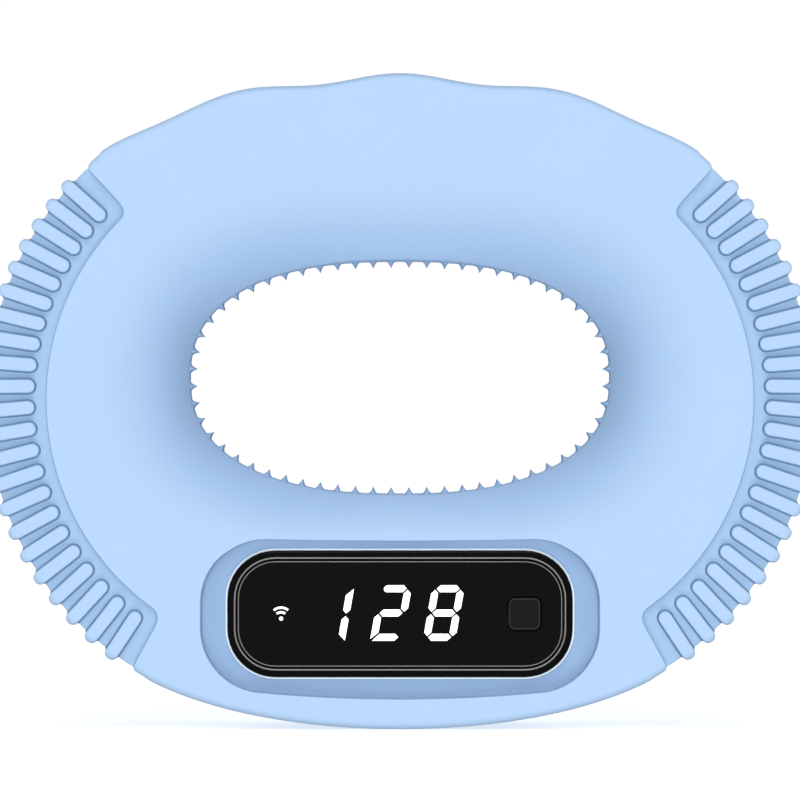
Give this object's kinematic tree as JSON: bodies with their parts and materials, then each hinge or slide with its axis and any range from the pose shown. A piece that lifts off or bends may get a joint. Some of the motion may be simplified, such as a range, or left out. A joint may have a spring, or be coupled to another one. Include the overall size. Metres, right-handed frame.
{
  "type": "hand grip strengthener",
  "caption": "Squeezable silicone grip ring with a wavy finger side, ribbed flanks and an oval hole, and a display module with a button that counts the squeezes.",
  "frame": {"origin": "middle of the ring at the lowest point of the palm edge, half way through its thickness", "axes": "+X to the right along the ring's length as the display is read, +Y from the display face to the back, +Z from the palm side up to the finger side"},
  "size_m": [0.1, 0.028, 0.0779],
  "materials": {
    "silicone": "satin, light blue, soft moulded silicone",
    "bezel_black": "glossy black",
    "seal_pale": "satin, pale, nearly white",
    "foam_dark": "matt dark grey foam",
    "shell_black": "fine matt black",
    "screw_steel": "plain steel",
    "window_smoked": "glossy smoked, reads as black",
    "mask_black": "matt black film",
    "light_guide": "milky white",
    "reflector_white": "matt white",
    "led_ceramic": "matt ceramic",
    "board_green": "green solder mask",
    "chip_black": "matt black resin",
    "can_metal": "plain metal can",
    "film_amber": "amber film",
    "foil": "dull foil",
    "wire_red": "red sleeve",
    "connector_steel": "satin plated steel",
    "button_black": "glossy black"
  },
  "bodies": {
    "palm_body": {"ring_palm_side": "silicone", "ring_left_wall": "silicone", "ring_right_wall": "silicone", "module_front_bezel": "bezel_black", "module_seal": "seal_pale", "module_rear_shell": "shell_black", "module_screws": "screw_steel", "display_window": "window_smoked", "display_mask": "mask_black", "segment_light_guides": "light_guide", "icon_light_guide": "light_guide", "led_reflector": "reflector_white", "led_chips": "led_ceramic", "circuit_board": "board_green", "control_chip": "chip_black", "radio_antenna": "led_ceramic", "clock_crystal": "can_metal", "chip_resistors": "chip_black", "force_sensor_strip": "film_amber", "battery_cell": "foil", "battery_pad": "foam_dark", "battery_leads": "wire_red", "usb_c_shell": "connector_steel", "usb_c_insert": "chip_black", "switch_base": "chip_black"},
    "finger_body": {"ring_finger_side": "silicone"},
    "button_body": {"button_cap": "button_black", "switch_plunger": "screw_steel"}
  },
  "joints": [
    {"name": "squeeze", "type": "slide", "parent": "palm_body", "child": "finger_body", "axis": [0, 0, -1], "range_m": [0, 0.016], "stiffness_N_per_m": 9000, "deforming": ["ring_left_wall", "ring_right_wall"]},
    {"name": "button_press", "type": "slide", "parent": "palm_body", "child": "button_body", "axis": [0, 1, 0], "range_m": [0, 0.0004], "stiffness_N_per_m": 4000}
  ]
}
